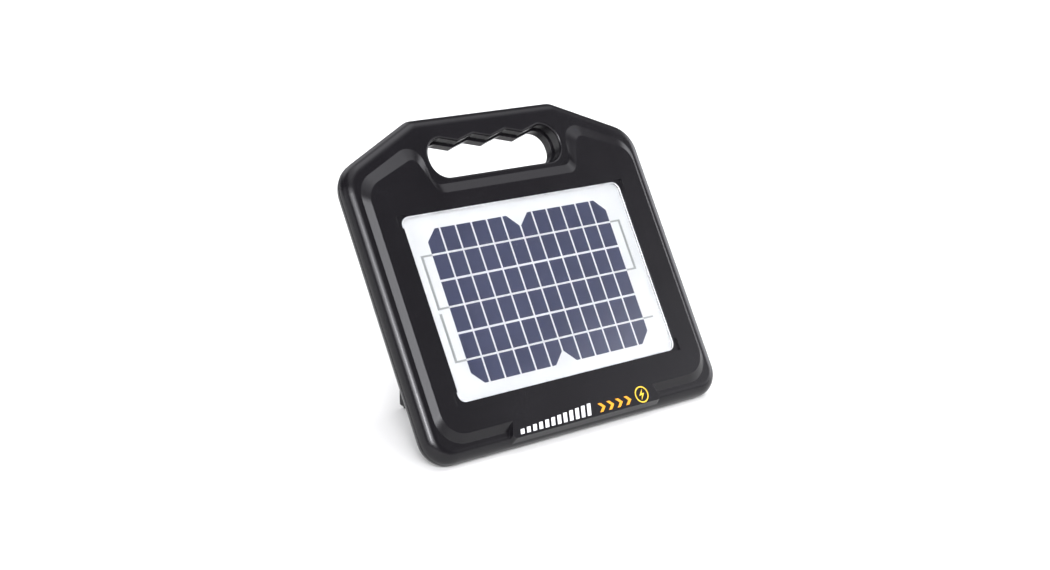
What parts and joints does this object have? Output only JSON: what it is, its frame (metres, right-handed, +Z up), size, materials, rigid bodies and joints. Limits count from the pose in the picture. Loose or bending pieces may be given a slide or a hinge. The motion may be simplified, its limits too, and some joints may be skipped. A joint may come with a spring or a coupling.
{
  "type": "fence energizer",
  "caption": "Portable solar electric-fence energizer: black case with carrying handle, solar panel face, rear battery box, side terminals and a fold-out stand.",
  "frame": {"origin": "on the floor, at the middle of the footprint's bounding box, with the case leaning back on its opened stand", "axes": "+Z up, +X to the right seen from the front, the face looks towards -Y"},
  "size_m": [0.273, 0.1448, 0.2179],
  "materials": {
    "case_plastic": "satin black moulded plastic, fine grain",
    "stand_plastic": "satin black moulded plastic",
    "cover_plastic": "satin black moulded plastic with ribs",
    "black_rubber": "matte",
    "seal_rubber": "matte",
    "foam": "open-cell foam",
    "adhesive": "cured silicone",
    "panel_glass": "low-iron tempered glass",
    "solar_silicon": "slate-blue antireflective silicon",
    "backsheet": "white laminate",
    "tinned_copper": "tinned ribbon",
    "board_laminate": "green solder mask",
    "core_steel": "stacked laminations, lacquered",
    "coil_tape": "yellow polyester tape",
    "capacitor_case": "epoxy-filled box",
    "can_sleeve": "black sleeve",
    "thyristor_case": "epoxy",
    "heat_sink_aluminium": "extruded",
    "battery_case": "grey-black battery case",
    "tin_plate": "tin plated",
    "zinc_steel": "zinc plated",
    "stainless": "stainless steel",
    "insert_brass": "turned",
    "fence_red": "red moulded plastic",
    "earth_green": "green moulded plastic",
    "switch_plastic": "black",
    "rocker_plastic": "red",
    "lens_plastic": "milky light pipe",
    "socket_plastic": "black",
    "wire_insulation": "insulated wire"
  },
  "bodies": {
    "case": {"front_shell": "case_plastic", "rear_shell": "case_plastic", "housing_seal": "seal_rubber", "housing_screws": "zinc_steel", "solar_glass": "panel_glass", "solar_backsheet": "backsheet", "panel_adhesive": "adhesive", "solar_cells": "solar_silicon", "cell_ribbons": "tinned_copper", "bus_ribbons": "tinned_copper", "panel_junction": "thyristor_case", "circuit_board": "board_laminate", "board_screws": "zinc_steel", "transformer_core": "core_steel", "transformer_coil": "coil_tape", "storage_capacitor": "capacitor_case", "heat_sink": "heat_sink_aluminium", "thyristor": "thyristor_case", "board_capacitors": "can_sleeve", "battery": "battery_case", "battery_tabs": "tin_plate", "battery_foam": "foam", "battery_cover": "cover_plastic", "battery_cover_seal": "seal_rubber", "battery_cover_screws": "zinc_steel", "fence_collar": "fence_red", "fence_stud": "stainless", "fence_washer": "stainless", "fence_nut": "stainless", "earth_collar": "earth_green", "earth_stud": "stainless", "earth_washer": "stainless", "earth_nut": "stainless", "switch_body": "switch_plastic", "indicator_lenses": "lens_plastic", "charging_socket": "socket_plastic", "socket_pin": "insert_brass", "socket_nut": "zinc_steel", "cap_tether": "black_rubber", "stand_pins": "stainless", "panel_leads": "wire_insulation", "battery_leads": "wire_insulation", "output_leads": "wire_insulation"},
    "stand": {"stand_frame": "stand_plastic", "stand_foot_pad": "black_rubber"},
    "fence_clamp": {"fence_knob": "fence_red", "fence_knob_insert": "insert_brass"},
    "earth_clamp": {"earth_knob": "earth_green", "earth_knob_insert": "insert_brass"},
    "rocker": {"switch_rocker": "rocker_plastic"},
    "cap": {"socket_cap": "black_rubber"}
  },
  "joints": [
    {"name": "stand_fold", "type": "hinge", "parent": "case", "child": "stand", "pos_m": [0, 0.05634, 0.12068], "axis": [-1, 0, 0], "range_deg": [0, 30.2]},
    {"name": "fence_knob_turn", "type": "hinge", "parent": "case", "child": "fence_clamp", "pos_m": [0.1112, 0.02344, 0.09239], "axis": [1, 0, 0], "range_deg": [0, 720]},
    {"name": "earth_knob_turn", "type": "hinge", "parent": "case", "child": "earth_clamp", "pos_m": [0.1112, 0.00131, 0.05436], "axis": [1, 0, 0], "range_deg": [0, 720]},
    {"name": "rocker_tilt", "type": "hinge", "parent": "case", "child": "rocker", "pos_m": [-0.036, 0.06231, 0.12299], "axis": [-1, 0, 0], "range_deg": [0, 24]},
    {"name": "cap_swing", "type": "hinge", "parent": "case", "child": "cap", "pos_m": [0.04315, 0.06529, 0.12126], "axis": [0, -0.503, -0.8643], "range_deg": [0, 120]}
  ]
}
